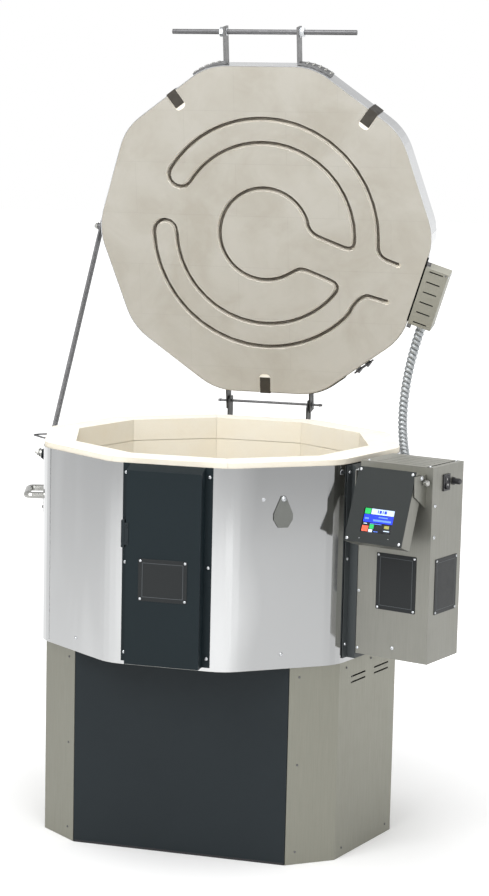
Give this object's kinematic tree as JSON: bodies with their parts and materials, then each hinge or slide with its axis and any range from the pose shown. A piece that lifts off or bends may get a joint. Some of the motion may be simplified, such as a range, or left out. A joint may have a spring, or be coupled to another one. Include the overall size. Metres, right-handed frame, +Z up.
{
  "type": "glass kiln",
  "caption": "Ten-sided top-loading glass kiln on a sheet-metal stand, with a propped brick lid, side control box and tilting touch-screen head.",
  "frame": {"origin": "on the floor, on the vertical axis of the firing chamber", "axes": "+Z up, -Y towards the front cover, +X towards the control box"},
  "size_m": [0.9504, 0.8046, 1.6663],
  "materials": {
    "firebrick": "soft white insulating firebrick, matt and finely pitted",
    "lid_firebrick": "cemented insulating firebrick, greyer from heat",
    "polished_steel": "mirror-polished stainless sheet",
    "brushed_steel": "warm grey brushed sheet",
    "dark_paint": "satin blue-black painted sheet",
    "steel": "plain steel bar",
    "zinc_steel": "bright zinc plate",
    "element_wire": "oxidised resistance wire",
    "black_plastic": "satin black",
    "ceramic": "glazed ceramic",
    "screen": "glossy colour display"
  },
  "bodies": {
    "root": {"stand_base_pan": "brushed_steel", "stand_front_panel": "dark_paint", "stand_back_panel": "brushed_steel", "stand_left_panel": "brushed_steel", "stand_right_panel": "brushed_steel", "stand_top_deck": "brushed_steel", "chamber_bottom_pan": "steel", "chamber_floor_brick": "firebrick", "wall_brick_01": "firebrick", "wall_brick_02": "firebrick", "wall_brick_03": "firebrick", "wall_brick_04": "firebrick", "wall_brick_05": "firebrick", "wall_brick_06": "firebrick", "wall_brick_07": "firebrick", "wall_brick_08": "firebrick", "wall_brick_09": "firebrick", "wall_brick_10": "firebrick", "chamber_element_upper": "element_wire", "chamber_element_lower": "element_wire", "chamber_jacket": "polished_steel", "element_cover_front": "dark_paint", "control_backplate": "dark_paint", "control_box_shell": "brushed_steel", "power_switch_bezel": "black_plastic", "fuse_holder": "black_plastic", "head_bracket_left": "brushed_steel", "head_bracket_right": "brushed_steel", "power_relay": "black_plastic", "terminal_block": "ceramic", "thermocouple": "ceramic", "hinge_bracket_left": "steel", "hinge_bracket_right": "steel", "hinge_rod": "zinc_steel", "side_handle": "zinc_steel", "brace_anchor_bracket": "dark_paint", "brace_anchor_bolt": "zinc_steel", "power_inlet_gland": "black_plastic", "lid_conduit": "zinc_steel"},
    "lid": {"lid_brick": "lid_firebrick", "lid_band": "polished_steel", "lid_element": "element_wire", "lid_clip_left": "steel", "lid_clip_right": "steel", "lid_clip_rear": "steel", "handle_arm_left": "steel", "handle_arm_right": "steel", "handle_rod": "steel", "hinge_strap_left": "steel", "hinge_strap_right": "steel", "lid_terminal_box": "brushed_steel", "lid_brace_bolt": "steel"},
    "brace": {"lid_brace": "steel"},
    "head": {"head_shell": "brushed_steel", "head_face_panel": "dark_paint", "head_touchscreen": "screen"},
    "clamp_knob": {"head_clamp_knob": "zinc_steel"},
    "rocker": {"power_switch_rocker": "black_plastic"},
    "fuse_cap": {"fuse_cap": "zinc_steel"},
    "peephole_cover": {"peephole_cover": "steel"}
  },
  "joints": [
    {"name": "lid_hinge", "type": "hinge", "parent": "root", "child": "lid", "pos_m": [0, 0.39065, 0.84176], "axis": [1, 0, 0], "range_deg": [0, 80], "deforming": ["lid_conduit"]},
    {"name": "brace_pivot", "type": "hinge", "parent": "lid", "child": "brace", "pos_m": [-0.38608, 0.33551, 1.22613], "axis": [1, 0, 0], "range_deg": [-40, 0]},
    {"name": "head_tilt", "type": "hinge", "parent": "root", "child": "head", "pos_m": [0.40925, -0.23847, 0.79248], "axis": [-0.9511, 0.309, 0], "range_deg": [-20, 10]},
    {"name": "clamp_turn", "type": "hinge", "parent": "head", "child": "clamp_knob", "pos_m": [0.47434, -0.25103, 0.78275], "axis": [0.9511, -0.309, 0], "range_deg": [-90, 90]},
    {"name": "power_rocker", "type": "hinge", "parent": "root", "child": "rocker", "pos_m": [0.50663, -0.19399, 0.778], "axis": [0.309, 0.9511, 0], "range_deg": [0, 16]},
    {"name": "fuse_cap_turn", "type": "hinge", "parent": "root", "child": "fuse_cap", "pos_m": [0.52532, -0.16935, 0.77724], "axis": [0.9511, -0.309, 0], "range_deg": [0, 90]},
    {"name": "peephole_swing", "type": "hinge", "parent": "root", "child": "peephole_cover", "pos_m": [0.21144, -0.29534, 0.74168], "axis": [0.5878, -0.809, 0], "range_deg": [-110, 110]}
  ],
  "couplings": [
    {"joint": "brace_pivot", "follows": "lid_hinge", "ratio": -0.5}
  ]
}
